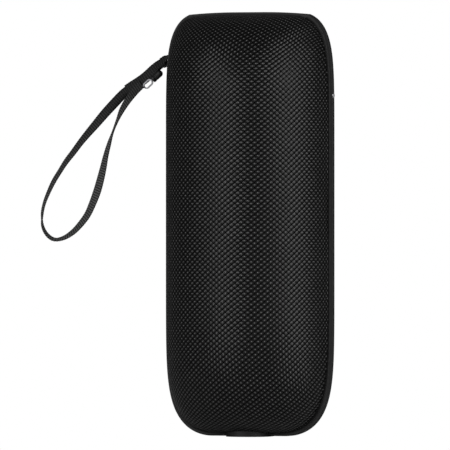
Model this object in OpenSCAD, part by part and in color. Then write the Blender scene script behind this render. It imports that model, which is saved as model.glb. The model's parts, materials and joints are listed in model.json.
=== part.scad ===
// Portable bluetooth speaker: an upright fabric-covered cylinder with domed ends,
// a rubberised trim band round its middle plane and a webbing wrist strap.
// The front faces -Y, +Z is up, and the origin is the centre of the foot's lower face.

/* [Body] */
// Diameter of the straight middle of the body
body_d = 88; // [86:1:90]
// Overall height, from the foot to the top of the trim band
body_h = 222; // [220:1:224]
// Thickness of the knitted fabric cover
fabric_t = 0.8; // [0.6:0.1:0.9]
// Thickness of the moulded half frames under the fabric
frame_t = 1.7; // [1.5:0.1:1.9]

/* [Trim band] */
// Width of each of the two trim rings, front to back
trim_w = 4; // [3.6:0.1:4.4]
// Gap between the two rings, which holds the seam seal
seam_gap = 0.8; // [0.6:0.1:1]
// How far the band stands proud of the fabric at the sides
trim_proud = 0.9; // [0.6:0.1:1]
// How far the band stands proud of the fabric at the top and bottom
trim_rise = 1.7; // [1.4:0.1:1.8]

/* [Drivers] */
// Outer diameter of each full-range driver's flange
driver_d = 52; // [50:1:53]
// Height of the lower driver's centre
lower_z = 52; // [51:0.5:53]
// Height of the passive radiators' centre
radiator_z = 107; // [106:0.5:108]
// Height of the upper driver's centre
upper_z = 162; // [161:0.5:163]
// Travel of each cone either side of rest
cone_travel = 2.5; // [1.5:0.5:3]
// Travel of each passive radiator either side of rest
radiator_travel = 3.5; // [2:0.5:4]

/* [Controls] */
// Diameter of the four round rubber buttons
button_d = 8; // [7:0.5:8.5]
// Distance between neighbouring buttons
button_pitch = 10.4; // [10:0.1:10.6]
// Travel of each button
button_travel = 0.6; // [0.4:0.1:0.8]
// Diameter of the metal power button on the side
power_d = 2.9; // [2.6:0.1:3.1]

/* [Strap] */
// Width of the strap's webbing
strap_w = 5.6; // [5:0.1:5.8]
// Thickness of the strap's webbing
strap_t = 1; // [0.8:0.1:1.1]

/* [Hidden] */

body_r = body_d / 2;
// The foot stands this far below the trim band
foot_drop = 0.4;
band_lo = foot_drop;
band_hi = body_h;
skin_lo = band_lo + trim_rise;
skin_hi = band_hi - trim_rise;
half_band = trim_w + seam_gap / 2;
skin_sides = 48;
// Gap kept between nested shells of one body
nest = 0.1;
frame_in = fabric_t + nest;
frame_r = body_r - frame_in - frame_t;

// Half sizes of the nearly flat ends, and the heights over which the ends round off
flat_w_bottom = 20;
flat_w_top = 26.7;
flat_d = 8;
round_w_bottom = 110;
round_w_top = 105;
round_d_bottom = 75;
round_d_top = 42;
// How soon each end reaches its full half size
sharp_w_bottom = 7.7;
sharp_w_top = 8.7;
sharp_d_bottom = 3;
sharp_d_top = 2;
// The top is slightly crowned: it falls this far between these half widths
crown = 0.65;
crown_w = 8;

// Share of the full half size that an end has reached, at a distance in from its tip
function rise(dist, over, sharp) =
    dist >= over ? 1 : sqrt(1 - pow(1 - max(dist, 0) / over, sharp));
// Half width of an outline that runs from lo to hi
function half_w(z, lo, hi, w) = min(
    flat_w_bottom + (w - flat_w_bottom) * rise(z - lo, round_w_bottom, sharp_w_bottom),
    flat_w_top + (w - flat_w_top) * rise(hi - z, round_w_top, sharp_w_top),
    crown_w + (flat_w_top - crown_w) * sqrt(max(hi - z, 0) / crown));
// Half depth of the body's skin
function half_d(z, lo, hi, d) = min(
    flat_d + (d - flat_d) * rise(z - lo, round_d_bottom, sharp_d_bottom),
    flat_d + (d - flat_d) * rise(hi - z, round_d_top, sharp_d_top));
// Heights at which the skin has a ring of points, closer together near the ends
function levels(lo, hi, nb, nt) = concat(
    [for (i = [0 : nb]) lo + round_d_bottom * pow(i / nb, 2)],
    [for (i = [nt : -1 : 0]) hi - round_d_top * pow(i / nt, 2)]);
// Outline of the body in its middle plane, as a closed polygon
function outline(lo, hi, w) = let (zs = levels(lo, hi, 22, 22), n = len(zs)) concat(
    [for (i = [0 : n - 1]) [half_w(zs[i], lo, hi, w), zs[i]]],
    [for (i = [n - 1 : -1 : 0]) [-half_w(zs[i], lo, hi, w), zs[i]]]);

// Solid of the body's shape, set in from the fabric's outer surface
module body_solid(inset) {
    lo = skin_lo + inset;
    hi = skin_hi - inset;
    zs = levels(lo, hi, 11, 10);
    n = len(zs);
    pts = [for (z = zs) for (k = [0 : skin_sides - 1])
        let (a = 360 * (k + 0.5) / skin_sides)
        [half_w(z, lo, hi, body_r - inset) * cos(a),
         half_d(z, lo, hi, body_r - inset) * sin(a), z]];
    sides = [for (i = [0 : n - 2]) for (k = [0 : skin_sides - 1])
        let (a = i * skin_sides + k, b = i * skin_sides + (k + 1) % skin_sides)
        [a, a + skin_sides, b + skin_sides, b]];
    bottom = [for (k = [0 : skin_sides - 1]) k];
    top = [for (k = [skin_sides - 1 : -1 : 0]) (n - 1) * skin_sides + k];
    polyhedron(pts, concat([bottom], [top], sides), 4);
}

// Half space in front of the band (side -1) or behind it (side 1)
module beyond_band(side) {
    translate([-100, side < 0 ? -100 - half_band : half_band, -10])
        cube([200, 100, body_h + 20]);
}

// A shape drawn in X and Z, extruded from y0 to y1
module slab(y0, y1) {
    translate([0, y1, 0]) rotate([90, 0, 0]) linear_extrude(y1 - y0) children();
}

// Round-ended bar shape, long in X
module stadium(long, wide) {
    union() {
        square([long - wide, wide], center = true);
        for (s = [-1, 1]) translate([s * (long - wide) / 2, 0]) circle(d = wide, $fn = 48);
    }
}

/* ---- Foot, fabric, frames and trim band ---- */

foot_w = 23;
foot_l = 30;
foot_t = skin_lo + frame_in;

module foot_shape(extra) {
    rotate(90) stadium(foot_l + 2 * extra, foot_w + 2 * extra);
}

module foot() {
    color("#303030") linear_extrude(foot_t) foot_shape(0);
}

module foot_pocket() {
    translate([0, 0, -1]) linear_extrude(foot_t + 1) foot_shape(0.15);
}

module front_fabric() {
    color("#272727") difference() {
        intersection() {
            body_solid(0);
            beyond_band(-1);
        }
        body_solid(fabric_t);
        foot_pocket();
    }
}

module rear_fabric() {
    color("#272727") difference() {
        intersection() {
            body_solid(0);
            beyond_band(1);
        }
        body_solid(fabric_t);
        foot_pocket();
        slab(20, 60) translate([0, panel_z]) square([panel_w + 0.4, panel_h + 0.4], center = true);
        slab(20, 60) translate([0, port_z]) square([port_w + 0.4, port_h + 0.4], center = true);
        lug_base(0.2);
    }
}

// Sound slots of a half frame
slot_w = 8;
slot_h = 13;
module sound_slots(side, columns, rows) {
    for (c = columns) for (r = rows)
        translate([c * 11.5 - slot_w / 2, side < 0 ? -60 : 20, 34 + r * 17])
            cube([slot_w, 40, slot_h]);
}

module front_frame() {
    color("#202020") difference() {
        intersection() {
            body_solid(frame_in);
            beyond_band(-1);
        }
        body_solid(frame_in + frame_t);
        sound_slots(-1, [-2 : 2], [0 : 8]);
    }
}

module rear_frame() {
    color("#202020") difference() {
        intersection() {
            body_solid(frame_in);
            beyond_band(1);
        }
        body_solid(frame_in + frame_t);
        sound_slots(1, [-2 : 2], [3 : 4]);
        slab(20, 60) translate([0, panel_z]) square([panel_w - 2.4, panel_h - 2.4], center = true);
        slab(20, 60) translate([0, port_z]) square([port_w - 2.4, port_h - 2.4], center = true);
        lug_base(0.2);
    }
}

module band_outline(inset) {
    polygon(outline(band_lo + inset, band_hi - inset, body_r + trim_proud - inset));
}

ring_depth = 4;
module trim_ring(side) {
    difference() {
        slab(side < 0 ? -half_band : seam_gap / 2, side < 0 ? -seam_gap / 2 : half_band)
            difference() {
                band_outline(0);
                band_outline(ring_depth);
            }
        foot_pocket();
        if (side > 0) power_hole();
    }
}

module front_trim_ring() { color("#303030") trim_ring(-1); }
module rear_trim_ring() { color("#303030") trim_ring(1); }

module seam_seal() {
    color("#141414") difference() {
        slab(-seam_gap / 2, seam_gap / 2) difference() {
            band_outline(0.9);
            band_outline(ring_depth);
        }
        foot_pocket();
    }
}

/* ---- Control panel and its buttons, on the back ---- */

panel_w = 22;
panel_h = 48;
panel_z = 152;
panel_proud = 0.3;
top_button_z = panel_z + 1.5 * button_pitch + 1.4;
light_z = panel_z - panel_h / 2 + 3.2;
button_gap = 0.25;
button_proud = 1.1;
button_floor = body_r - 2.4;

function button_z(i) = top_button_z - i * button_pitch;

// Curved plate on the back, between two radii
module back_plate(r_in, r_out) {
    intersection() {
        translate([0, 0, 20]) difference() {
            cylinder(r = r_out, h = 180, $fn = 96);
            translate([0, 0, -1]) cylinder(r = r_in, h = 182, $fn = 96);
        }
        slab(20, 60) children();
    }
}

module control_panel() {
    color("#242424") difference() {
        back_plate(body_r - fabric_t, body_r + panel_proud)
            translate([0, panel_z]) square([panel_w, panel_h], center = true);
        for (i = [0 : 3]) slab(30, 60) translate([0, button_z(i)])
            circle(d = button_d + 2 * button_gap, $fn = 48);
        slab(30, 60) translate([0, light_z]) circle(d = 2, $fn = 32);
    }
}

// A round button with a wider flange behind the panel
module button(i) {
    slab(button_floor, body_r + button_proud) translate([0, button_z(i)])
        circle(d = button_d, $fn = 48);
    slab(button_floor - 0.8, button_floor) translate([0, button_z(i)])
        circle(d = button_d + 1.6, $fn = 48);
}

module bluetooth_button() { color("#2e2e2e") button(0); }
module volume_up_button() { color("#2e2e2e") button(1); }
module play_button() { color("#2e2e2e") button(2); }
module volume_down_button() { color("#2e2e2e") button(3); }

module status_light_pipe() {
    color("#e8f0ff") slab(switch_top + 0.4, body_r + panel_proud) translate([0, light_z])
        circle(d = 1.9, $fn = 32);
}

board_t = 1.2;
switch_top = button_floor - 0.8 - button_travel - 0.3;
switch_h = 1.8;
button_board_y = switch_top - switch_h - board_t;

module button_board() {
    color("#1f4d36") slab(button_board_y, button_board_y + board_t) translate([0, panel_z])
        square([17, panel_h - 4], center = true);
}

module tact_switches() {
    color("#b8b8b8") for (i = [0 : 3]) {
        slab(button_board_y + board_t, switch_top - 0.5) translate([0, button_z(i)])
            square([4.5, 4.5], center = true);
        slab(switch_top - 0.5, switch_top) translate([0, button_z(i)])
            circle(d = 2.2, $fn = 32);
    }
}

/* ---- Metal power button on the right-hand side ---- */

power_z = 178.4;
power_y = 2.4;
power_out = body_r + trim_proud + 0.45;
ring_in = body_r + trim_proud - ring_depth;

module power_hole() {
    translate([body_r - 8, power_y, power_z]) rotate([0, 90, 0])
        cylinder(d = power_d + 0.3, h = 20, $fn = 48);
}

module power_button() {
    color("#c8c8cc") translate([0, power_y, power_z]) rotate([0, 90, 0]) {
        translate([0, 0, ring_in - 0.6]) cylinder(d = power_d, h = power_out - ring_in + 0.6, $fn = 48);
        translate([0, 0, ring_in - 1.4]) cylinder(d = power_d + 1.6, h = 1, $fn = 48);
    }
}

// Switch behind the power button, on a short arm from the chassis wall
module power_switch() {
    color("#b8b8b8") {
        translate([31, power_y - 1.5, power_z - 2]) cube([5, 3, 4]);
        translate([ring_in - 5.5, power_y - 2, power_z - 3]) cube([3, 5, 6]);
        translate([ring_in - 2.6, power_y, power_z]) rotate([0, 90, 0])
            cylinder(d = 1.8, h = 0.6, $fn = 32);
    }
}

/* ---- Port panel and door, low on the back ---- */

port_w = 28;
port_h = 20;
port_z = 66;
door_w = 21;
door_h = 12;
door_t = 1.5;
door_gap = 0.3;
hinge_r = 0.8;
hinge_l = 10;
hinge_pin_r = 0.35;
hinge_y = 43.3;
hinge_z = port_z - door_h / 2 + 1.2;
door_lo = hinge_z + 0.9;
door_hi = port_z + door_h / 2;
hinge_ear = 1.4;
socket_w = 9;
socket_h = 3.2;
socket_y = 40.4;

module port_panel() {
    color("#1d1d1d") difference() {
        union() {
            back_plate(body_r - fabric_t, body_r + panel_proud)
                translate([0, port_z]) square([port_w, port_h], center = true);
            back_plate(body_r - 4.4, body_r - fabric_t)
                translate([0, port_z]) square([port_w - 3, port_h - 3], center = true);
        }
        slab(body_r - 3.4, 60) translate([0, port_z])
            square([door_w + 2 * door_gap, door_h + 2 * door_gap], center = true);
        slab(30, 60) translate([0, port_z])
            square([socket_w + 0.3, socket_h + 0.3], center = true);
    }
    color("#1d1d1d") for (s = [-1, 1]) difference() {
        translate([s * (hinge_l / 2 + 0.3 + hinge_ear / 2) - hinge_ear / 2, body_r - 3.4, hinge_z - 0.9])
            cube([hinge_ear, 2.9, 1.6]);
        hinge_bore(hinge_pin_r);
    }
}

// Bore along the door's hinge, right through the barrel and its two ears
module hinge_bore(r) {
    translate([-12, hinge_y, hinge_z]) rotate([0, 90, 0]) cylinder(r = r, h = 24, $fn = 32);
}

module port_door() {
    color("#262626") difference() {
        union() {
            back_plate(body_r + panel_proud - door_t, body_r + panel_proud)
                translate([0, (door_lo + door_hi) / 2]) square([door_w, door_hi - door_lo], center = true);
            translate([-hinge_l / 2, hinge_y, hinge_z]) rotate([0, 90, 0])
                cylinder(r = hinge_r, h = hinge_l, $fn = 48);
            translate([-hinge_l / 2, hinge_y - 0.5, hinge_z]) cube([hinge_l, 1, 1.5]);
        }
        hinge_bore(hinge_pin_r + 0.05);
    }
}

module door_hinge_pin() {
    pin_l = hinge_l + 0.6 + 2 * hinge_ear;
    color("#9a9a9e") translate([-pin_l / 2, hinge_y, hinge_z]) rotate([0, 90, 0])
        cylinder(r = hinge_pin_r, h = pin_l, $fn = 32);
}

module usb_socket() {
    color("#a8a8ac") slab(board_y + board_t, socket_y) translate([0, port_z]) difference() {
        stadium(socket_w, socket_h);
        stadium(socket_w - 0.6, socket_h - 0.6);
    }
    color("#303030") slab(board_y + board_t, board_y + board_t + 1) translate([0, port_z])
        stadium(socket_w - 0.6, socket_h - 0.6);
    color("#303030") slab(board_y + board_t + 1, socket_y - 1) translate([0, port_z])
        square([6.2, 0.7], center = true);
}

/* ---- Sealed chassis ---- */

chassis_y = 24;
chassis_wall = 2.2;
// Where the battery and speaker leads pass through the rear wall
lead_x = 16;
lead_z = 82;
chassis_pts = [[20, 18], [31, 40], [31, 188], [20, 202]];

module chassis_shape(inset) {
    half = [for (p = chassis_pts) [p[0] - inset, p[1] + (p[1] < 100 ? inset : -inset)]];
    polygon(concat(half, [for (i = [3 : -1 : 0]) [-half[i][0], half[i][1]]]));
}

ear_zs = [60, 112, 166];
ear_x = 36;
ear_out = body_r + trim_proud - ring_depth - 0.1;
module ears(y0, y1) {
    for (z = ear_zs) for (s = [-1, 1]) slab(y0, y1) difference() {
        translate([s * (30.5 + ear_out) / 2, z]) square([ear_out - 30.5, 9], center = true);
        translate([s * ear_x, z]) circle(d = 2.4, $fn = 32);
    }
}

module chassis_tray(side) {
    outer = side * chassis_y;
    inner = side * (chassis_y - chassis_wall);
    slab(min(outer, inner), max(outer, inner)) chassis_shape(0);
    slab(min(inner, side * seam_gap / 2), max(inner, side * seam_gap / 2)) difference() {
        chassis_shape(0);
        chassis_shape(chassis_wall);
    }
    ears(min(side * seam_gap / 2, side * 4), max(side * seam_gap / 2, side * 4));
}

module front_chassis() {
    color("#3a3a3a") difference() {
        chassis_tray(-1);
        for (z = [upper_z, lower_z]) {
            slab(-30, -10) translate([0, z]) circle(d = driver_d - 4.6, $fn = 96);
            driver_bolts(z, -chassis_y - 0.1, 5, 0.8);
        }
        slab(-30, -10) translate([0, radiator_z]) rotate(0) stadium(radiator_w - 5, radiator_h - 5);
        radiator_bolts(-1, 0.8);
    }
}

module rear_chassis() {
    color("#3a3a3a") difference() {
        chassis_tray(1);
        slab(10, 30) translate([0, radiator_z]) stadium(radiator_w - 5, radiator_h - 5);
        radiator_bolts(1, 0.8);
        board_bolts(chassis_y - 1.6, 0.75);
        for (s = [-1, 1]) slab(10, 30) translate([s * lead_x, lead_z]) circle(d = 2.6, $fn = 32);
    }
    color("#3a3a3a") for (p = board_posts) slab(chassis_y, board_y) translate(p) difference() {
        circle(d = 4.6, $fn = 32);
        circle(r = 0.75, $fn = 32);
    }
}

module chassis_gasket() {
    color("#101010") slab(-seam_gap / 2, seam_gap / 2) difference() {
        chassis_shape(0.2);
        chassis_shape(chassis_wall - 0.2);
    }
}

module chassis_screws() {
    color("#9a9a9e") for (z = ear_zs) for (s = [-1, 1]) {
        slab(-3.9, 3.6) translate([s * ear_x, z]) circle(d = 2.2, $fn = 32);
        slab(4, 5.4) translate([s * ear_x, z]) circle(d = 4, $fn = 32);
        slab(3.6, 4) translate([s * ear_x, z]) circle(d = 2.2, $fn = 32);
    }
}

/* ---- Drivers ---- */

surround_out = driver_d / 2 - 3.4;
surround_in = surround_out - 4;
cone_r = surround_in - 0.4;
// Depth of the basket's seat for the surround's outer edge
seat = -0.6;
coil_r = 6.8;
magnet_back = -24;
plate_top = -15;

// Local frame of a driver: +Z towards the listener, origin on its mounting plane
module at_driver(z) {
    translate([0, -chassis_y, z]) rotate([90, 0, 0]) children();
}

module driver_bolts(z, y0, deep, r) {
    for (a = [45 : 90 : 315]) translate([24.4 * cos(a), y0, z + 24.4 * sin(a)])
        rotate([-90, 0, 0]) cylinder(r = r, h = deep, $fn = 32);
}

module basket(z) {
    difference() {
        at_driver(z) difference() {
            rotate_extrude($fn = 96) polygon([
                [surround_out, 1.4], [driver_d / 2, 1.4], [driver_d / 2, 0],
                [surround_out + 0.8, 0], [16.4, -13], [16.4, plate_top], [8.4, plate_top],
                [8.4, plate_top + 1.2], [14.8, plate_top + 1.2], [15, -12.4],
                [surround_out - 1.6, seat], [surround_out, seat]]);
            for (a = [0 : 60 : 300]) rotate(a) translate([12, -3.6, -10.5]) cube([12, 7.2, 6]);
        }
        driver_bolts(z, -chassis_y - 3, 5, 1.05);
    }
}

module magnet(z) {
    at_driver(z) rotate_extrude($fn = 96) polygon([
        [0, magnet_back], [15, magnet_back], [15, plate_top], [7.8, plate_top],
        [7.8, -21.5], [5.6, -21.5], [5.6, plate_top], [0, plate_top]]);
}

// Paper cone with its dust cap and voice coil
module cone(z) {
    at_driver(z) rotate_extrude($fn = 96) polygon([
        [0, -4.6], [3, -5], [5.6, -6.2], [coil_r, -7.6], [cone_r, -0.9], [cone_r, -0.2],
        [coil_r, -6.6], [5.6, -5.2], [3, -4], [0, -3.6]]);
    at_driver(z) rotate_extrude($fn = 96) polygon([
        [coil_r - 0.7, -17.6], [coil_r, -17.6], [coil_r, -7.2], [coil_r - 0.7, -7.4]]);
}

module surround(z) {
    at_driver(z) rotate_extrude($fn = 96) difference() {
        translate([(surround_in + surround_out) / 2, seat])
            circle(r = (surround_out - surround_in) / 2, $fn = 32);
        translate([(surround_in + surround_out) / 2, seat])
            circle(r = (surround_out - surround_in) / 2 - 0.5, $fn = 32);
        translate([10, seat - 5]) square([20, 5]);
    }
}

module upper_basket() { color("#4a4a4c") basket(upper_z); }
module upper_magnet() { color("#6a6a6e") magnet(upper_z); }
module upper_cone() { color("#1c1c1c") cone(upper_z); }
module upper_surround() { color("#141414") surround(upper_z); }
module lower_basket() { color("#4a4a4c") basket(lower_z); }
module lower_magnet() { color("#6a6a6e") magnet(lower_z); }
module lower_cone() { color("#1c1c1c") cone(lower_z); }
module lower_surround() { color("#141414") surround(lower_z); }

module driver_screws() {
    color("#9a9a9e") for (z = [upper_z, lower_z]) {
        driver_bolts(z, -chassis_y - 1.4, 5, 0.8);
        for (a = [45 : 90 : 315]) translate([24.4 * cos(a), -chassis_y - 2.4, z + 24.4 * sin(a)])
            rotate([-90, 0, 0]) cylinder(r = 1.7, h = 1, $fn = 32);
    }
}

/* ---- Passive radiators ---- */

radiator_w = 56;
radiator_h = 46;
plate_w = 36;
plate_h = 26;

radiator_holes = [[-25, 0], [25, 0], [0, -20.6], [0, 20.6]];
module radiator_bolts(side, r) {
    for (a = radiator_holes)
        slab(side < 0 ? -chassis_y - 3 : chassis_y - 3, side < 0 ? -chassis_y + 3 : chassis_y + 3)
            translate([a[0], radiator_z + a[1]]) circle(r = r, $fn = 32);
}

module radiator_frame(side) {
    difference() {
        slab(side < 0 ? -chassis_y - 2.4 : chassis_y, side < 0 ? -chassis_y : chassis_y + 2.4)
            translate([0, radiator_z]) difference() {
                stadium(radiator_w, radiator_h);
                stadium(radiator_w - 9, radiator_h - 9);
            }
        radiator_bolts(side, 1);
    }
}

module radiator_surround(side) {
    y = side * (chassis_y + 1.2);
    slab(y - 0.5, y + 0.5) translate([0, radiator_z]) difference() {
        stadium(radiator_w - 9.2, radiator_h - 9.2);
        stadium(plate_w + 0.8, plate_h + 0.8);
    }
}

module radiator_plate(side) {
    y = side * (chassis_y + 1.2);
    slab(y - 1, y + 1) translate([0, radiator_z]) stadium(plate_w, plate_h);
}

module radiator_screws() {
    color("#9a9a9e") {
        radiator_bolts(-1, 0.8);
        radiator_bolts(1, 0.8);
        for (a = radiator_holes) translate([0, 0, radiator_z]) for (side = [-1, 1])
            slab(side < 0 ? -chassis_y - 3.8 : chassis_y + 2.4, side < 0 ? -chassis_y - 2.4 : chassis_y + 3.8)
                translate(a) circle(r = 1.6, $fn = 32);
    }
}

module front_radiator_frame() { color("#2a2a2a") radiator_frame(-1); }
module front_radiator_surround() { color("#141414") radiator_surround(-1); }
module front_radiator_plate() { color("#3c3c3e") radiator_plate(-1); }
module rear_radiator_frame() { color("#2a2a2a") radiator_frame(1); }
module rear_radiator_surround() { color("#141414") radiator_surround(1); }
module rear_radiator_plate() { color("#3c3c3e") radiator_plate(1); }

/* ---- Battery ---- */

cell_d = 18.5;
cell_h = 65;
cell_x = 9.6;
cell_z = radiator_z - cell_h / 2;

module battery_cells() {
    color("#2f6f9f") for (s = [-1, 1]) translate([s * cell_x, 0, cell_z])
        cylinder(d = cell_d, h = cell_h, $fn = 96);
}

// End caps that hold the two cells between the chassis walls
module battery_holder() {
    color("#222222") for (top = [0, 1])
        translate([0, 0, top ? cell_z + cell_h - 6 : cell_z - 1.4]) difference() {
            translate([-28.6, -6, 0]) cube([57.2, 12, 7.4]);
            for (s = [-1, 1]) translate([s * cell_x, 0, top ? -1 : 1.4])
                cylinder(d = cell_d + 0.1, h = 7, $fn = 96);
        }
}

/* ---- Boards and leads ---- */

board_y = 31;
board_w = 40;
board_lo = 38;
board_hi = 78;
board_posts = [[-17, 41], [17, 41], [-17, 75], [17, 75]];

module board_bolts(y0, r) {
    for (p = board_posts) slab(y0, board_y + board_t + 1) translate(p) circle(r = r, $fn = 32);
}

module main_board() {
    color("#1f4d36") difference() {
        slab(board_y, board_y + board_t) translate([-board_w / 2, board_lo])
            square([board_w, board_hi - board_lo]);
        board_bolts(board_y - 1, 1);
    }
}

module board_components() {
    color("#8a8a8e") {
        translate([-10, board_y - 1.6, 54]) cube([14, 1.6, 14]);
        translate([7, board_y - 1.2, 48]) cube([7, 1.2, 7]);
        translate([7, board_y - 1.2, 60]) cube([5, 1.2, 5]);
        for (x = [-12, -4]) translate([x, board_y, 47]) rotate([90, 0, 0])
            cylinder(d = 6, h = 5.4, $fn = 48);
        translate([-16, board_y + board_t, 48]) cube([12, 2.2, 9]);
        translate([2, board_y + board_t, 46]) cube([8, 2, 6]);
    }
}

module board_screws() {
    color("#9a9a9e") for (p = board_posts) {
        slab(board_y - 5, board_y + board_t) translate(p) circle(r = 0.75, $fn = 32);
        slab(board_y + board_t, board_y + board_t + 1.1) translate(p) circle(r = 1.7, $fn = 32);
    }
}

// A wire of square section that runs through a list of points, along the axes only
module wire(points, d) {
    for (i = [0 : len(points) - 2]) {
        a = points[i];
        b = points[i + 1];
        lo = [for (k = [0 : 2]) min(a[k], b[k]) - d / 2];
        size = [for (k = [0 : 2]) abs(a[k] - b[k]) + d];
        translate(lo) cube(size);
    }
}

module battery_lead() {
    color("#b03030") wire([[0, 8.8, 100], [0, 12, 100], [-lead_x, 12, 100],
        [-lead_x, 12, lead_z], [-lead_x, 28, lead_z], [-12, 28, lead_z], [-12, 28, 72],
        [-12, 30.4, 72]], 1.2);
}

module speaker_leads() {
    color("#b03030") {
        wire([[20, -17, lower_z], [27, -17, lower_z], [27, 14, lower_z], [27, 14, lead_z],
            [27, 14, upper_z], [27, -17, upper_z], [20, -17, upper_z]], 1.2);
        wire([[27, 14, lead_z], [lead_x, 14, lead_z], [lead_x, 28, lead_z],
            [12, 28, lead_z], [12, 28, 72], [12, 30.4, 72]], 1.2);
    }
}

/* ---- Strap lug and strap ---- */

lug_x = -45.1;
lug_y = 11;
lug_z = 198;
lug_bar_r = 2;
lug_gap = strap_w + 0.6;
ear_t = 1.2;

// Part of the lug that passes through the fabric and the frame
module lug_base(extra) {
    translate([-44, lug_y - lug_gap / 2 - ear_t - extra, lug_z - 4 - extra])
        cube([10, lug_gap + 2 * ear_t + 2 * extra, 8 + 2 * extra]);
}

module strap_lug() {
    color("#232323") {
        difference() {
            lug_base(0);
            translate([lug_x, lug_y + 20, lug_z]) rotate([90, 0, 0])
                cylinder(r = 3.9, h = 40, $fn = 64);
            translate([-60, lug_y - lug_gap / 2, lug_z - 5]) cube([60 - 41.2, lug_gap, 10]);
        }
        for (s = [-1, 1]) translate([0, lug_y + s * (lug_gap + ear_t) / 2, 0]) {
            translate([lug_x, ear_t / 2, lug_z]) rotate([90, 0, 0])
                cylinder(r = 1.7, h = ear_t, $fn = 48);
            translate([lug_x, -ear_t / 2, lug_z - 1.7]) cube([5.4, ear_t, 3.4]);
        }
        translate([lug_x, lug_y + lug_gap / 2, lug_z]) rotate([90, 0, 0])
            cylinder(r = lug_bar_r, h = lug_gap, $fn = 64);
    }
}

// Loop of the strap: X, Y and Z of its centreline, and the webbing's turn about that line
// in degrees from lying with its width along Y
strap_route = [
    [-64.3, 12.2, 186.5, -85], [-68.9, 12.4, 183.5, -86], [-73.7, 12.4, 180, -86],
    [-78.9, 12.2, 174.8, -84], [-84, 12, 169.5, -74], [-88.4, 11.8, 164.5, -64],
    [-92.7, 11.6, 159.6, -54], [-96.8, 11.4, 154.7, -47], [-100.8, 11.2, 149.4, -43],
    [-104.9, 11, 144.2, -39], [-108.4, 11, 139, -35], [-111.8, 11, 133.7, -35],
    [-114.6, 11, 128.1, -31], [-117, 11, 122.2, -27], [-118.2, 11, 116.5, -24],
    [-118, 11, 110.5, -11], [-115.6, 11, 105.8, -1], [-111.5, 11, 103.1, 9],
    [-106.3, 11, 103.9, 23], [-101.2, 11, 106.9, 36], [-96.9, 11, 111.1, 44],
    [-93, 11, 116.2, 50], [-90.1, 10.9, 122.2, 56], [-87.6, 10.8, 128.5, 61],
    [-85.7, 10.7, 134.8, 58], [-84.1, 10.6, 141, 51], [-82.7, 10.5, 147.1, 41],
    [-80.9, 10.4, 153.3, 33], [-78.7, 10.2, 159.7, 20], [-76.1, 9.8, 165.9, 25],
    [-73.4, 9.4, 171.4, 41], [-69.7, 8.9, 176.8, 51], [-65.7, 8.3, 181.4, 57],
    [-62.3, 7.9, 184.8, 64]];
// Doubled and stitched neck of the strap, listed the same way
neck_route = [
    [-50.4, 11, 196.7, -44], [-53.6, 11, 194.8, -55], [-56.4, 11, 192.4, -70],
    [-59.1, 11, 189.9, -76], [-61.7, 11, 187.8, -78], [-64.7, 11, 185.8, -76],
    [-67.7, 11, 184, -76], [-71, 11, 181.9, -76]];

function place(p) = [p[0], p[1], p[2]];
function along(p, i) = let (d = place(p[min(i + 1, len(p) - 1)]) - place(p[max(i - 1, 0)]))
    d / norm(d);

// Flat webbing swept along a route, eight points to a ring
module webbing(route, wide, thick) {
    n = len(route);
    ring = [[-0.5, -0.3], [-0.42, -0.5], [0.42, -0.5], [0.5, -0.3],
        [0.5, 0.3], [0.42, 0.5], [-0.42, 0.5], [-0.5, 0.3]];
    pts = [for (i = [0 : n - 1]) let (d = along(route, i), a = route[i][3],
        across = cross(d, [0, 1, 0]) / norm(cross(d, [0, 1, 0])), flat = cross(across, d),
        u = sin(a) * across + cos(a) * flat, v = cos(a) * across - sin(a) * flat)
        for (q = ring) place(route[i]) + q[0] * wide * u + q[1] * thick * v];
    sides = [for (i = [0 : n - 2]) for (k = [0 : 7])
        let (a = i * 8 + k, b = i * 8 + (k + 1) % 8) each [[a, a + 8, b + 8], [a, b + 8, b]]];
    polyhedron(pts, concat([[for (k = [0 : 7]) k]],
        [[for (k = [7 : -1 : 0]) (n - 1) * 8 + k]], sides), 4);
}

module strap_webbing() {
    color("#4a4a4a") webbing(strap_route, strap_w, strap_t);
}

// Centreline radius of the eye that goes round the lug's bar
eye_r = lug_bar_r + 0.3 + strap_t / 2;
// From the bar's centre to where the eye's two sides meet
eye_reach = [neck_route[0][0] - lug_x, neck_route[0][2] - lug_z];
eye_turn = atan2(eye_reach[1], eye_reach[0]);
eye_side = acos(eye_r / norm(eye_reach));

// Round bar shape that runs out to a point
module teardrop(r) {
    union() {
        circle(r = r, $fn = 64);
        polygon([[0, 0], [r * cos(eye_side), -r * sin(eye_side)], [r / cos(eye_side), 0],
            [r * cos(eye_side), r * sin(eye_side)]]);
    }
}

module eye_shape() {
    translate([lug_x, lug_z]) rotate(eye_turn) difference() {
        teardrop(eye_r + strap_t / 2);
        teardrop(eye_r - strap_t / 2);
    }
}

module strap_eye() {
    color("#454545") slab(lug_y - strap_w / 2, lug_y + strap_w / 2) eye_shape();
}

module strap_neck() {
    color("#454545") webbing(neck_route, strap_w, 2 * strap_t);
}

// Small moulded clasp along the neck's lower edge
clasp_d = 3.6;
clasp_from = [-52.8, 9.8, 190.4];
clasp_to = [-56.6, 9.8, 187.1];
clasp_tilt = atan2(clasp_to[0] - clasp_from[0], clasp_to[2] - clasp_from[2]);

module strap_clasp() {
    color("#181818") translate(clasp_from) rotate([0, clasp_tilt, 0]) {
        cylinder(d = clasp_d, h = norm(clasp_to - clasp_from), $fn = 48);
        sphere(d = clasp_d, $fn = 48);
    }
}

module strap_eyelet() {
    color("#c8c8cc") slab(8.2, 9.2) translate([-58.7, 185]) rotate(42) difference() {
        stadium(6, 3.6);
        stadium(4.6, 2.2);
    }
}

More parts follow.
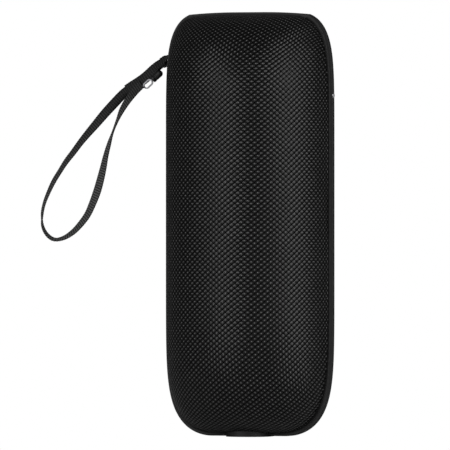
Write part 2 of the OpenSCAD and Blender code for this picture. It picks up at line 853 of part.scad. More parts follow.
front_fabric();
rear_fabric();
front_frame();
rear_frame();
front_trim_ring();
rear_trim_ring();
seam_seal();
foot();
control_panel();
bluetooth_button();
volume_up_button();
play_button();
volume_down_button();
status_light_pipe();
power_button();
power_switch();
port_panel();
port_door();
door_hinge_pin();
usb_socket();
front_chassis();
rear_chassis();
chassis_gasket();
chassis_screws();
upper_basket();
upper_magnet();
upper_cone();
upper_surround();
lower_basket();
lower_magnet();
lower_cone();
lower_surround();
driver_screws();
front_radiator_frame();
front_radiator_surround();
front_radiator_plate();
rear_radiator_frame();
rear_radiator_surround();
rear_radiator_plate();
radiator_screws();
battery_cells();
battery_holder();
battery_lead();
main_board();
board_components();
board_screws();
button_board();
tact_switches();
speaker_leads();
strap_lug();
strap_webbing();
strap_eye();
strap_neck();
strap_clasp();
strap_eyelet();
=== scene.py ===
"""Portable bluetooth speaker with a knitted cover, a rubber trim band and a webbing wrist strap."""
import json
import math

import bpy
import numpy as np
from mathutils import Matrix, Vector


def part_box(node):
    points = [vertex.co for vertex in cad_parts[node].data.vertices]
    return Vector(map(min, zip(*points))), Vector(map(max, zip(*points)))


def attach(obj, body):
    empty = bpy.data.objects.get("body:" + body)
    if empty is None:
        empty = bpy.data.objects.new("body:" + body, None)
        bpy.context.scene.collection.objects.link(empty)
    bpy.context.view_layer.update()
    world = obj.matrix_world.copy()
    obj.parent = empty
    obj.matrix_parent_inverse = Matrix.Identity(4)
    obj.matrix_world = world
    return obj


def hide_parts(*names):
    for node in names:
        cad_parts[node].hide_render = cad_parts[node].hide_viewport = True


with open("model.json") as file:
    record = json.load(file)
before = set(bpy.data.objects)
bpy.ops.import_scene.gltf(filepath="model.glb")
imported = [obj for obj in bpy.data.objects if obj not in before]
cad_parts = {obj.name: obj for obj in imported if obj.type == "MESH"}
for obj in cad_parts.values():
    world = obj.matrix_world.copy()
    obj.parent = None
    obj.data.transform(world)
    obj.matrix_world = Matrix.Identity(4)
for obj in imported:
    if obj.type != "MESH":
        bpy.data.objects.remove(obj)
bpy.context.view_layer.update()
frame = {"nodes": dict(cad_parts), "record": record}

MM = 0.001
NODES = frame["nodes"]

# ---- Sizes read from the frame, in metres ----

BAND_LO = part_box("front_trim_ring")[0].z
BAND_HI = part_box("front_trim_ring")[1].z
BAND_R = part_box("front_trim_ring")[1].x
BAND_HALF = -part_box("front_trim_ring")[0].y
SEAM_HALF = -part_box("front_trim_ring")[1].y
SKIN_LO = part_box("front_fabric")[0].z
SKIN_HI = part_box("front_fabric")[1].z
SKIN_R = 44 * MM
HEIGHT = BAND_HI

# The ends of the body, as in part.scad. W is its half width along X and D its half depth along Y.
# FLAT is the half size left at the very tip, ROUND the height that the rounding takes, and SHARP
# the power of its curve. The top also has a low crown.
FLAT_W_BOTTOM, FLAT_W_TOP, FLAT_D = 20 * MM, 26.7 * MM, 8 * MM
ROUND_W_BOTTOM, ROUND_W_TOP = 110 * MM, 105 * MM
ROUND_D_BOTTOM, ROUND_D_TOP = 75 * MM, 42 * MM
SHARP_W_BOTTOM, SHARP_W_TOP, SHARP_D_BOTTOM, SHARP_D_TOP = 7.7, 8.7, 3, 2
CROWN, CROWN_W = 0.65 * MM, 8 * MM


def rise(dist, over, sharp):
    """Share of the full half size that an end has reached, at a distance in from its tip."""
    left = np.clip(1 - np.maximum(dist, 0) / over, 0, 1)
    return np.sqrt(1 - left ** sharp)


def half_w(z, lo, hi, w):
    """Half width at height z of an outline from lo to hi whose straight part is w."""
    end = np.minimum(FLAT_W_BOTTOM + (w - FLAT_W_BOTTOM) * rise(z - lo, ROUND_W_BOTTOM, SHARP_W_BOTTOM),
                     FLAT_W_TOP + (w - FLAT_W_TOP) * rise(hi - z, ROUND_W_TOP, SHARP_W_TOP))
    return np.minimum(end, CROWN_W + (FLAT_W_TOP - CROWN_W) * np.sqrt(np.maximum(hi - z, 0) / CROWN))


def half_d(z, lo, hi, d):
    """Half depth at height z, in the same way."""
    return np.minimum(FLAT_D + (d - FLAT_D) * rise(z - lo, ROUND_D_BOTTOM, SHARP_D_BOTTOM),
                      FLAT_D + (d - FLAT_D) * rise(hi - z, ROUND_D_TOP, SHARP_D_TOP))


# ---- Camera, at the photograph's viewing angle ----

CAMERA_AZIMUTH = math.radians(17)
CAMERA_DISTANCE = 4.5
SENSOR = 36
# width of the view where the speaker stands
VIEW_SIZE = 235.7 * MM
RIGHT = Vector((math.cos(CAMERA_AZIMUTH), math.sin(CAMERA_AZIMUTH), 0))
BACK = Vector((math.sin(CAMERA_AZIMUTH), -math.cos(CAMERA_AZIMUTH), 0))
AIM = Vector((0, 0, 110.7 * MM)) - RIGHT * 13.1 * MM


def make_camera():
    cam = bpy.data.objects.new("camera", bpy.data.cameras.new("camera"))
    bpy.context.scene.collection.objects.link(cam)
    cam.location = AIM + BACK * CAMERA_DISTANCE
    cam.rotation_euler = (-BACK).to_track_quat("-Z", "Y").to_euler()
    cam.data.sensor_width = SENSOR
    cam.data.lens = SENSOR * CAMERA_DISTANCE / VIEW_SIZE
    cam.data.clip_start = 0.01
    cam.data.clip_end = 50
    bpy.context.scene.camera = cam


make_camera()

# ---- Small node helper ----


class Nodes:
    """Adds shader nodes to a new material and links them."""

    def __init__(self, name):
        self.material = bpy.data.materials.new(name)
        self.material.use_nodes = True
        self.tree = self.material.node_tree
        self.shader = self.tree.nodes["Principled BSDF"]

    def add(self, kind, **settings):
        node = self.tree.nodes.new(kind)
        for key, value in settings.items():
            setattr(node, key, value)
        return node

    def link(self, out, into):
        """Links an output, or sets a plain value."""
        if isinstance(out, (int, float, tuple)):
            into.default_value = out
        else:
            self.tree.links.new(out, into)

    def math(self, operation, *values):
        node = self.add("ShaderNodeMath", operation=operation)
        for i, value in enumerate(values):
            self.link(value, node.inputs[i])
        return node.outputs[0]

    def where(self, scale=(1, 1, 1)):
        """Object coordinates, scaled."""
        coord = self.add("ShaderNodeTexCoord")
        mapping = self.add("ShaderNodeMapping")
        mapping.inputs["Scale"].default_value = scale
        self.link(coord.outputs["Object"], mapping.inputs["Vector"])
        return mapping.outputs["Vector"]

    def noise(self, vector, scale, detail):
        node = self.add("ShaderNodeTexNoise")
        self.link(vector, node.inputs["Vector"])
        node.inputs["Scale"].default_value = scale
        node.inputs["Detail"].default_value = detail
        node.inputs["Roughness"].default_value = 0.6
        return node.outputs["Fac"]

    def ramp(self, factor, *stops):
        """stops are (position, grey or colour)."""
        node = self.add("ShaderNodeValToRGB")
        self.link(factor, node.inputs["Fac"])
        band = node.color_ramp
        band.elements.remove(band.elements[1])
        band.elements[0].position = stops[0][0]
        for i, (place, colour) in enumerate(stops):
            element = band.elements.new(place) if i else band.elements[0]
            rgb = (colour,) * 3 if isinstance(colour, (int, float)) else colour
            element.color = (*rgb, 1)
        return node.outputs["Color"]

    def bump(self, height, distance, strength=1.0, below=None):
        """Relief of a fine height; a small filter keeps detail that is finer than a pixel."""
        node = self.add("ShaderNodeBump")
        node.inputs["Distance"].default_value = distance
        node.inputs["Filter Width"].default_value = 0.1
        node.inputs["Strength"].default_value = strength
        self.link(height, node.inputs["Height"])
        if below is not None:
            self.link(below, node.inputs["Normal"])
        return node.outputs["Normal"]

    def set(self, **sockets):
        """Sets or links the shader's sockets, by short names."""
        names = {"color": "Base Color", "rough": "Roughness", "metal": "Metallic",
                 "specular": "Specular IOR Level", "sheen": "Sheen Weight",
                 "sheen_rough": "Sheen Roughness", "normal": "Normal"}
        for key, value in sockets.items():
            self.link(value, self.shader.inputs[names[key]])
        return self.material


# ---- Materials ----

# The knit's repeat, across and up the cloth
KNIT_U = 3.38 * MM
KNIT_V = 2.755 * MM
# relief of the stitches in the material, and of the cloth's own mesh
STITCH_DEPTH = 0.32 * MM
KNIT_DEPTH = 0.22 * MM


def knit_material():
    """Shiny cords along one diagonal with grooves between, and a small raised stitch wherever the other
    diagonal crosses them.
    The stitches are painted light as a painted highlight; the grooves are painted near black and made
    metal so that they reflect almost nothing, as painted shade."""
    n = Nodes("knit_fabric")
    uv = n.add("ShaderNodeUVMap", uv_map="Weave")
    split = n.add("ShaderNodeSeparateXYZ")
    n.link(uv.outputs["UV"], split.inputs[0])
    drift = n.math("MULTIPLY_ADD", n.noise(n.where(), 300, 2), 0.1, -0.05)
    # in repeats of the knit, with a little unevenness
    u = n.math("ADD", split.outputs["X"], drift)
    v = split.outputs["Y"]

    def ridge(phase, sharp, side=1):
        """One where the phase is whole (side 1) or half (side -1), falling off sharply between."""
        wave = n.math("COSINE", n.math("MULTIPLY", phase, 2 * math.pi))
        return n.math("POWER", n.math("MULTIPLY_ADD", wave, 0.5 * side, 0.5), sharp)

    one, two = n.math("SUBTRACT", u, v), n.math("ADD", u, v)
    stitch = n.math("MULTIPLY", ridge(one, 7.0), ridge(two, 7.0))
    cord = n.math("SUBTRACT", 1.0, ridge(one, 6.0, -1))
    cross = n.math("MULTIPLY_ADD", ridge(two, 6.0, -1), -0.8, 1.0)
    ground = n.math("MULTIPLY", cord, cross)
    height = n.math("MULTIPLY_ADD", stitch, 0.5, n.math("MULTIPLY", ridge(one, 1.0), 0.3))
    height = n.math("MULTIPLY_ADD", ridge(two, 1.0), 0.15, height)
    relief = n.bump(height, STITCH_DEPTH, 1.0)
    fibre = n.noise(n.where(), 3400, 3)
    patch = n.noise(n.where(), 130, 3)
    # painted light: the stitches far lighter than the cloth, as a painted highlight, and the grooves near
    # black, as painted shade
    tone = n.math("MULTIPLY_ADD", stitch, 0.55, n.math("MULTIPLY", ground, 0.45))
    tone = n.math("MULTIPLY_ADD", fibre, 0.1, n.math("SUBTRACT", tone, 0.05))
    tone = n.math("MULTIPLY_ADD", patch, 0.16, n.math("SUBTRACT", tone, 0.08))
    color = n.ramp(tone, (0.05, 0.001), (0.4, 0.01), (0.6, 0.04), (1.0, 0.36))
    gloss = n.ramp(ground, (0.3, 0.7), (0.8, 0.25))
    # painted shade: the grooves are made a near-black metal so that they reflect almost nothing
    painted_groove_shade = n.ramp(ground, (0.2, 1.0), (0.6, 0.0))
    normal = n.bump(fibre, 0.01 * MM, 0.3, relief)
    return n.set(color=color, metal=painted_groove_shade, rough=gloss, specular=0.5, normal=normal)


def rubber_material(name, color, rough):
    n = Nodes(name)
    fine = n.noise(n.where(), 3200, 3)
    broad = n.noise(n.where(), 70, 4)
    tone = n.ramp(broad, (0.3, color * 0.85), (0.7, color * 1.12))
    gloss = n.ramp(broad, (0.3, rough - 0.04), (0.7, rough + 0.05))
    return n.set(color=tone, rough=gloss, specular=0.45, normal=n.bump(fine, 0.05 * MM, 0.6))


def plastic_material(name, color, rough):
    n = Nodes(name)
    fine = n.noise(n.where(), 2400, 2)
    broad = n.noise(n.where(), 60, 3)
    lo = tuple(c * 0.9 for c in color)
    hi = tuple(min(1, c * 1.1) for c in color)
    return n.set(color=n.ramp(broad, (0.3, lo), (0.7, hi)), rough=rough,
                 normal=n.bump(fine, 0.03 * MM, 0.5))


def metal_material(name, color, rough, brushed=0.0):
    """brushed: added strength of the streaks along Z."""
    n = Nodes(name)
    streaks = n.noise(n.where((1, 1, 14)), 900, 3)
    gloss = n.ramp(streaks, (0.3, max(0.03, rough - 0.03)), (0.7, rough + 0.05))
    normal = n.bump(streaks, 0.02 * MM, 0.2 + brushed)
    return n.set(color=(*color, 1), metal=1.0, rough=gloss, normal=normal)


# Number of ribs along the loop, and the share of its colour at places from one end to the other, as
# painted shade:
# it is darkest beside the seam that joins its ends
LOOP_RIBS = 159
LOOP_PAINTED_SHADE = [(0.0, 0.2), (0.09, 0.2), (0.13, 0.34), (0.25, 0.52), (0.33, 0.75), (0.5, 0.92),
             (0.62, 1.0), (0.85, 1.0), (0.91, 0.62), (0.95, 0.36), (1.0, 0.36)]
# warp ends that show across the webbing
WARP_ENDS = 9


def webbing_material(name, tone, painted_shade=None):
    """painted_shade: stops along the tape, from one end to the other, that its colour is multiplied by,
    as painted shade.
    """
    n = Nodes(name)
    uv = n.add("ShaderNodeUVMap", uv_map="Weave")
    split = n.add("ShaderNodeSeparateXYZ")
    n.link(uv.outputs["UV"], split.inputs[0])
    across, along = split.outputs["X"], split.outputs["Y"]
    turn = 2 * math.pi
    # ribs across the tape, and a broken twill of warp ends on top of them
    rib = n.math("MULTIPLY_ADD", n.math("COSINE", n.math("MULTIPLY", along, turn)), 0.5, 0.5)
    warp = n.math("COSINE", n.math("MULTIPLY", across, turn * WARP_ENDS))
    warp = n.math("MULTIPLY_ADD", warp, 0.5, 0.5)
    height = n.math("MULTIPLY_ADD", warp, 0.35, n.math("MULTIPLY", rib, 0.65))
    fuzz = n.noise(n.where(), 3000, 3)
    mix = n.math("ADD", height, n.math("MULTIPLY_ADD", fuzz, 0.4, -0.2))
    # painted light and shade: the ribs' and warp ends' tops are painted lighter and the hollows between
    # them darker
    color = n.ramp(mix, (0.1, 0.008 * tone), (0.5, 0.04 * tone), (1.0, 0.14 * tone))
    # painted shade along the tape, darkest towards its ends
    if painted_shade:
        shaded_color = n.add("ShaderNodeVectorMath", operation="MULTIPLY")
        n.link(color, shaded_color.inputs[0])
        n.link(n.ramp(n.math("DIVIDE", along, LOOP_RIBS), *painted_shade), shaded_color.inputs[1])
        color = shaded_color.outputs[0]
    normal = n.bump(mix, 0.15 * MM, 0.8)
    return n.set(color=color, rough=0.6, specular=0.35, sheen=0.15, sheen_rough=0.4, normal=normal)


MATERIALS = {
    "knit_fabric": knit_material(),
    "frame_plastic": plastic_material("frame_plastic", (0.015,) * 3, 0.6),
    "trim_rubber": rubber_material("trim_rubber", 0.02, 0.55),
    "seal_rubber": rubber_material("seal_rubber", 0.008, 0.7),
    "panel_rubber": rubber_material("panel_rubber", 0.018, 0.55),
    "button_rubber": rubber_material("button_rubber", 0.026, 0.45),
    "light_plastic": plastic_material("light_plastic", (0.75, 0.8, 0.9), 0.2),
    "polished_metal": metal_material("polished_metal", (0.7, 0.7, 0.72), 0.34),
    "eyelet_metal": metal_material("eyelet_metal", (0.2, 0.2, 0.21), 0.3),
    "switch_metal": metal_material("switch_metal", (0.5, 0.5, 0.52), 0.35, 0.2),
    "screw_steel": metal_material("screw_steel", (0.42, 0.42, 0.44), 0.3, 0.2),
    "chassis_plastic": plastic_material("chassis_plastic", (0.045,) * 3, 0.55),
    "basket_steel": plastic_material("basket_steel", (0.04,) * 3, 0.4),
    "magnet_iron": metal_material("magnet_iron", (0.15, 0.15, 0.16), 0.5, 0.2),
    "cone_paper": plastic_material("cone_paper", (0.02,) * 3, 0.8),
    "surround_rubber": rubber_material("surround_rubber", 0.012, 0.6),
    "radiator_metal": metal_material("radiator_metal", (0.4, 0.4, 0.41), 0.35, 0.3),
    "cell_sleeve": plastic_material("cell_sleeve", (0.03, 0.12, 0.25), 0.35),
    "circuit_board": plastic_material("circuit_board", (0.015, 0.09, 0.05), 0.4),
    "lead_sleeve": plastic_material("lead_sleeve", (0.4, 0.03, 0.03), 0.45),
    "lug_plastic": plastic_material("lug_plastic", (0.014,) * 3, 0.5),
    # The same webbing twice: lighter for the loop, as painted light, and five times darker for the sewn
    # neck and the eye round the bar, as painted shade
    "webbing": webbing_material("webbing", 1.8, LOOP_PAINTED_SHADE),
    "sewn_webbing": webbing_material("sewn_webbing", 0.36),
}

# Pieces whose finish differs from their slot's
FINISHES = {"strap_eyelet": "eyelet_metal"}

for entry in frame["record"]["subparts"]:
    mesh = NODES[entry["node"]].data
    mesh.materials.clear()
    mesh.materials.append(MATERIALS[FINISHES.get(entry["node"], entry["material_slot"])])

# ---- Mesh helpers ----


def new_object(name, verts, faces, slot, smooth=True):
    """A new mesh object with its slot's material."""
    mesh = bpy.data.meshes.new(name)
    mesh.from_pydata([tuple(v) for v in verts], [], faces)
    mesh.update()
    mesh.polygons.foreach_set("use_smooth", [smooth] * len(mesh.polygons))
    obj = bpy.data.objects.new(name, mesh)
    bpy.context.scene.collection.objects.link(obj)
    obj.data.materials.append(MATERIALS[slot])
    return obj


def grid_faces(rows, cols, closed_rows=False, closed_cols=False):
    """Quads between a grid's neighbouring points, row by row."""
    faces = []
    for r in range(rows if closed_rows else rows - 1):
        for c in range(cols if closed_cols else cols - 1):
            r2, c2 = (r + 1) % rows, (c + 1) % cols
            faces.append((r * cols + c, r * cols + c2, r2 * cols + c2, r2 * cols + c))
    return faces


# ---- Strap ----

# The strap's route, as in part.scad: X, Y, Z and the webbing's turn, in millimetres and degrees
STRAP_ROUTE = [
    (-64.3, 12.2, 186.5, -85), (-68.9, 12.4, 183.5, -86), (-73.7, 12.4, 180, -86),
    (-78.9, 12.2, 174.8, -84), (-84, 12, 169.5, -74), (-88.4, 11.8, 164.5, -64),
    (-92.7, 11.6, 159.6, -54), (-96.8, 11.4, 154.7, -47), (-100.8, 11.2, 149.4, -43),
    (-104.9, 11, 144.2, -39), (-108.4, 11, 139, -35), (-111.8, 11, 133.7, -35),
    (-114.6, 11, 128.1, -31), (-117, 11, 122.2, -27), (-118.2, 11, 116.5, -24),
    (-118, 11, 110.5, -11), (-115.6, 11, 105.8, -1), (-111.5, 11, 103.1, 9),
    (-106.3, 11, 103.9, 23), (-101.2, 11, 106.9, 36), (-96.9, 11, 111.1, 44),
    (-93, 11, 116.2, 50), (-90.1, 10.9, 122.2, 56), (-87.6, 10.8, 128.5, 61),
    (-85.7, 10.7, 134.8, 58), (-84.1, 10.6, 141, 51), (-82.7, 10.5, 147.1, 41),
    (-80.9, 10.4, 153.3, 33), (-78.7, 10.2, 159.7, 20), (-76.1, 9.8, 165.9, 25),
    (-73.4, 9.4, 171.4, 41), (-69.7, 8.9, 176.8, 51), (-65.7, 8.3, 181.4, 57),
    (-62.3, 7.9, 184.8, 64)]
# The two layers sewn together, from the lug outwards, in the same way
NECK_ROUTE = [
    (-50.4, 11, 196.7, -44), (-53.6, 11, 194.8, -55), (-56.4, 11, 192.4, -70),
    (-59.1, 11, 189.9, -76), (-61.7, 11, 187.8, -78), (-64.7, 11, 185.8, -76),
    (-67.7, 11, 184, -76), (-71, 11, 181.9, -76)]
STRAP_W = 5.6 * MM
STRAP_T = 1.0 * MM
RIB_PITCH, RIB_DEPTH = 1.34 * MM, 0.16 * MM
LUG_X, LUG_Y, LUG_Z = -45.1, 11, 198
# The loop's webbing is bowed across its width where it leaves the neck: how deep, how far along
BOW_DEPTH, BOW_LENGTH = 1.25 * MM, 58 * MM
# Radius of the webbing's centreline round the lug's bar, in mm
EYE_R = 2.8
# The webbing's thickness in the visual model, in the loop and in the sewn neck
LOOP_T, NECK_T = 1.1 * STRAP_T, 2.1 * STRAP_T


def smooth_route(route, step):
    """Catmull-Rom points along a route, a step apart: positions in metres and turns in degrees.
    Returns them and the route's length."""
    per_span = 24
    p = np.array(route, float)
    p[:, :3] *= MM
    p = np.vstack([2 * p[0] - p[1], p, 2 * p[-1] - p[-2]])
    out = []
    for i in range(1, len(p) - 2):
        a, b, c, d = p[i - 1:i + 3]
        for t in np.linspace(0, 1, per_span, endpoint=False):
            out.append(0.5 * (2 * b + (c - a) * t + (2 * a - 5 * b + 4 * c - d) * t ** 2
                              + (3 * b - a - 3 * c + d) * t ** 3))
    out = np.array(out + [p[-2]])
    gone = np.concatenate([[0], np.cumsum(np.linalg.norm(np.diff(out[:, :3], axis=0), axis=1))])
    at = np.linspace(0, gone[-1], max(2, int(gone[-1] / step) + 1))
    return np.stack([np.interp(at, gone, out[:, k]) for k in range(4)], axis=1), gone[-1]


def tape_frames(points):
    """Unit vectors across and through a tape, at each point."""
    d = np.gradient(points[:, :3], axis=0)
    d /= np.linalg.norm(d, axis=1)[:, None]
    side = np.cross(d, [0, 1, 0])
    side /= np.linalg.norm(side, axis=1)[:, None]
    flat = np.cross(side, d)
    a = np.radians(points[:, 3])[:, None]
    return np.sin(a) * side + np.cos(a) * flat, np.cos(a) * side - np.sin(a) * flat


# Half of the tape's cross section, as (across, through) shares of its width and thickness; the
# other half is its mirror through the centre
ONE_LAYER = [(-0.5, 0.0), (-0.485, 0.32), (-0.44, 0.5), (-0.3, 0.5), (-0.15, 0.5), (0, 0.5),
             (0.15, 0.5), (0.3, 0.5), (0.44, 0.5), (0.485, 0.32)]
TWO_LAYERS = [(-0.47, 0.0), (-0.495, 0.12), (-0.495, 0.36), (-0.45, 0.5), (-0.3, 0.5), (0, 0.5),
              (0.3, 0.5), (0.45, 0.5), (0.495, 0.36), (0.495, 0.12)]


def tape(name, route, wide, thick, half=ONE_LAYER, bow=0.0, look="webbing"):
    """Ribbed webbing along a route, bowed across its width.
    Returns the object, its line and its length."""
    points, length = smooth_route(route, RIB_PITCH / 8)
    across, through = tape_frames(points)
    section = half + [(-x, -y) for x, y in half]
    gone = np.arange(len(points)) * length / (len(points) - 1)
    rib = 0.5 + 0.5 * np.cos(2 * math.pi * gone / RIB_PITCH)
    verts, uvs = [], []
    for i, p in enumerate(points):
        deep = bow * max(0, 1 - gone[i] / BOW_LENGTH)
        # the ribs stand out a little at the edges, and bowing draws the edges together
        w = wide * (0.975 + 0.025 * rib[i]) / (1 + 2.67 * (deep / wide) ** 2)
        for x, y in section:
            t = thick - RIB_DEPTH * (1 - rib[i])
            lift = y * t + deep * (4 * x * x - 0.4)
            verts.append(p[:3] + across[i] * x * w + through[i] * lift)
            uvs.append((x, gone[i] / RIB_PITCH))
    n = len(section)
    faces = grid_faces(len(points), n, closed_cols=True)
    faces += [tuple(range(n - 1, -1, -1)), tuple((len(points) - 1) * n + k for k in range(n))]
    obj = new_object(name, verts, [f[::-1] for f in faces], "webbing")
    obj.data.materials[0] = MATERIALS[look]
    layer = obj.data.uv_layers.new(name="Weave")
    for loop in obj.data.loops:
        layer.data[loop.index].uv = uvs[loop.vertex_index]
    return obj, points, length


def eye_route():
    """Centreline of the single layer that leaves the neck, goes round the lug's bar and comes back,
    as X, Z and turn."""
    bar, start = np.array([LUG_X, LUG_Z]), np.array([NECK_ROUTE[0][0], NECK_ROUTE[0][2]])
    out = (start - bar) / np.linalg.norm(start - bar)
    side = np.array([-out[1], out[0]])
    turn = NECK_ROUTE[0][3]
    # distance out from the bar, distance to the side, and turn
    leave = [(7.6, 0.5, -turn), (6.4, 0.9, -turn), (5.0, 1.33, -turn), (3.6, 1.8, -turn * 0.6),
             (2.2, 2.23, -turn * 0.3)]
    around = [(EYE_R * math.cos(math.radians(a)), EYE_R * math.sin(math.radians(a)), 0)
              for a in range(72, 289, 27)]
    back = [(s, -w, -t) for s, w, t in reversed(leave)]
    return [(*(bar + out * s + side * w), t) for s, w, t in leave + around + back]


# Thread on the neck: where its rows lie as shares of the width, then in points of the neck's line
# how far the rows stay from its ends, how long a stitch is and how far apart stitches start
STITCH_ROWS = (-0.34, 0.34)
STITCH_MARGIN, STITCH_LONG, STITCH_EVERY = 12, 6, 9
# A stitch along its length, as (share, lift in mm), and its cross section in mm
STITCH_ARCH = ((0, -0.05), (0.2, 0.12), (0.8, 0.12), (1, -0.05))
STITCH_SECTION = ((-0.16, -0.08), (-0.1, 0.08), (0.1, 0.08), (0.16, -0.08))


def stitches(points, across, through, wide, thick):
    """Rows of short thread stitches on both faces of the neck, each a small raised bar."""
    verts, faces = [], []
    for row in STITCH_ROWS:
        for face in (-1, 1):
            for i in range(STITCH_MARGIN, len(points) - STITCH_MARGIN, STITCH_EVERY):
                start, end = points[i][:3], points[i + STITCH_LONG][:3]
                ends = []
                for share, lift in STITCH_ARCH:
                    centre = (start + (end - start) * share + across[i] * row * wide
                              + through[i] * face * (thick / 2 + lift * MM))
                    ends.append([centre + across[i] * u * MM + through[i] * face * v * MM
                                 for u, v in STITCH_SECTION])
                k = len(verts)
                verts += [v for e in ends for v in e]
                sides = grid_faces(len(STITCH_ARCH), len(STITCH_SECTION), closed_cols=True)
                bar_faces = [tuple(k + corner for corner in f) for f in sides]
                bar_faces += [(k + 3, k + 2, k + 1, k), (k + 12, k + 13, k + 14, k + 15)]
                faces += [f[::-face] for f in bar_faces]
    return verts, faces


CLASP_FROM, CLASP_TO = (-52.8, 9.8, 190.4), (-56.6, 9.8, 187.1)
CLASP_R = 1.8
# Distance along the clasp's axis and radius, in mm: a domed end, a groove and a dished end
CLASP_PROFILE = [(-CLASP_R * math.cos(a), max(CLASP_R * math.sin(a), 0.01))
                 for a in np.radians(np.linspace(0, 90, 9))]
CLASP_PROFILE += [(2.9, CLASP_R), (3.0, 1.72), (3.05, 1.5), (3.35, 1.5), (3.4, 1.72), (3.5, CLASP_R),
                  (4.55, CLASP_R), (4.85, 1.68), (5.0, 1.4), (5.03, 0.8), (4.6, 0.7), (4.6, 0.01)]
# flat sides that stand for a round one
ROUND_SIDES = 48


def lathe(name, start, end, profile, slot):
    """A turned solid about the line from start to end: profile is distance and radius, in mm."""
    start, end = np.array(start, float) * MM, np.array(end, float) * MM
    axis = (end - start) / np.linalg.norm(end - start)
    side = np.cross(axis, [0, 1, 0])
    side /= np.linalg.norm(side)
    up = np.cross(side, axis)
    verts = [start + axis * x * MM + (side * math.cos(t) + up * math.sin(t)) * r * MM
             for x, r in profile for t in np.linspace(0, 2 * math.pi, ROUND_SIDES, endpoint=False)]
    faces = grid_faces(len(profile), ROUND_SIDES, closed_cols=True)
    last = len(verts) - ROUND_SIDES
    faces += [tuple(range(ROUND_SIDES - 1, -1, -1)), tuple(range(last, last + ROUND_SIDES))]
    return new_object(name, verts, [f[::-1] for f in faces], slot)


def make_strap():
    loop, points, length = tape("strap_loop_webbing", STRAP_ROUTE, STRAP_W, LOOP_T, bow=BOW_DEPTH)
    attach(loop, "strap")
    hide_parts("strap_webbing")
    neck, line, _ = tape("strap_neck_webbing", NECK_ROUTE, STRAP_W * 1.02, NECK_T, TWO_LAYERS,
                         look="sewn_webbing")
    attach(neck, "strap")
    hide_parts("strap_neck")
    across, through = tape_frames(line)
    verts, faces = stitches(line, across, through, STRAP_W, NECK_T)
    thread = new_object("strap_stitching", verts, faces, "webbing")
    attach(thread, "strap")
    route = [(x, LUG_Y, z, t) for x, z, t in eye_route()]
    eye, _, _ = tape("strap_eye_webbing", route, STRAP_W, STRAP_T, look="sewn_webbing")
    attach(eye, "strap")
    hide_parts("strap_eye")
    clasp = lathe("strap_clasp_barrel", CLASP_FROM, CLASP_TO, CLASP_PROFILE, "lug_plastic")
    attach(clasp, "strap")
    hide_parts("strap_clasp")


make_strap()

# ---- Power button, with a domed face ----

# in mm
BUTTON_R, BUTTON_LONG, BUTTON_DOME = 1.45, 3, 0.6


def make_power_button():
    lo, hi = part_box("power_button")
    face = np.array([hi.x, (lo.y + hi.y) / 2, (lo.z + hi.z) / 2]) / MM
    stem = [(-BUTTON_LONG, 0.01), (-BUTTON_LONG, BUTTON_R)]
    dome = [(BUTTON_DOME * math.cos(a) - BUTTON_DOME, BUTTON_R * math.sin(a))
            for a in np.radians(np.linspace(90, 1, 10))]
    obj = lathe("power_button_dome", face, face + [1, 0, 0], stem + dome, "polished_metal")
    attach(obj, "power_key")
    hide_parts("power_button")


make_power_button()

# ---- Knitted covers ----


COVER_COLUMNS, COVER_ROWS = 246, 388
# heights at which the body's outline is sampled, in each rounded end and in the straight part
END_SAMPLES, STRAIGHT_SAMPLES = 500, 202


def cover_columns(side):
    """Grid of points on one cover: columns at fixed X, rows evenly along each column.
    Returns positions (rows, columns, 3) and the distance along the cloth (rows, columns)."""
    columns, rows = COVER_COLUMNS, COVER_ROWS
    z = np.concatenate([
        SKIN_LO + ROUND_D_BOTTOM * np.linspace(0, 1, END_SAMPLES) ** 2,
        np.linspace(SKIN_LO + ROUND_D_BOTTOM, SKIN_HI - ROUND_D_TOP, STRAIGHT_SAMPLES)[1:-1],
        SKIN_HI - ROUND_D_TOP * np.linspace(1, 0, END_SAMPLES) ** 2])
    w = half_w(z, SKIN_LO, SKIN_HI, SKIN_R)
    d = half_d(z, SKIN_LO, SKIN_HI, SKIN_R)
    edge = w * np.sqrt(1 - (BAND_HALF / d) ** 2)
    reach = math.asin(edge.max() * 0.99999 / SKIN_R)
    place = np.zeros((rows, columns, 3))
    cloth = np.zeros((rows, columns))
    middle = np.argmin(abs(z - HEIGHT / 2))
    for c, a in enumerate(np.linspace(-reach, reach, columns)):
        x = SKIN_R * math.sin(a)
        inside = np.flatnonzero(edge >= abs(x))
        lo, hi = inside[0], inside[-1]
        zs, ys = z[lo:hi + 1], d[lo:hi + 1] * np.sqrt(1 - (x / w[lo:hi + 1]) ** 2)
        # the column ends where the cloth meets the band
        zs = np.concatenate([[zs[0]], zs, [zs[-1]]])
        ys = np.concatenate([[BAND_HALF], ys, [BAND_HALF]])
        if lo > 0:
            t = (abs(x) - edge[lo - 1]) / (edge[lo] - edge[lo - 1])
            zs[0] = z[lo - 1] + t * (z[lo] - z[lo - 1])
        if hi < len(z) - 1:
            t = (abs(x) - edge[hi + 1]) / (edge[hi] - edge[hi + 1])
            zs[-1] = z[hi + 1] + t * (z[hi] - z[hi + 1])
        gone = np.concatenate([[0], np.cumsum(np.hypot(np.diff(zs), np.diff(ys)))])
        at = np.linspace(0, gone[-1], rows)
        place[:, c, 0] = x
        place[:, c, 1] = side * np.interp(at, gone, ys)
        place[:, c, 2] = np.interp(at, gone, zs)
        cloth[:, c] = at - gone[1 + middle - lo]
    return place, cloth


def grid_normals(place, side):
    """Outward unit normals of a grid of points."""
    du = np.gradient(place, axis=1)
    dv = np.gradient(place, axis=0)
    n = np.cross(du, dv)
    n /= np.maximum(np.linalg.norm(n, axis=2), 1e-12)[:, :, None]
    return -n * side


def knit_height(u, v):
    """Relief of the knit, from 0 to 1, where u and v count its repeats."""
    return 0.5 + 0.25 * (np.cos(2 * math.pi * (u + v)) + np.cos(2 * math.pi * (u - v)))


def smoothstep(x):
    x = np.clip(x, 0, 1)
    return x * x * (3 - 2 * x)


# how far the cloth's edge dips beside the trim, and over what width
EDGE_TUCK, TUCK_WIDTH = 0.05 * MM, 0.8 * MM


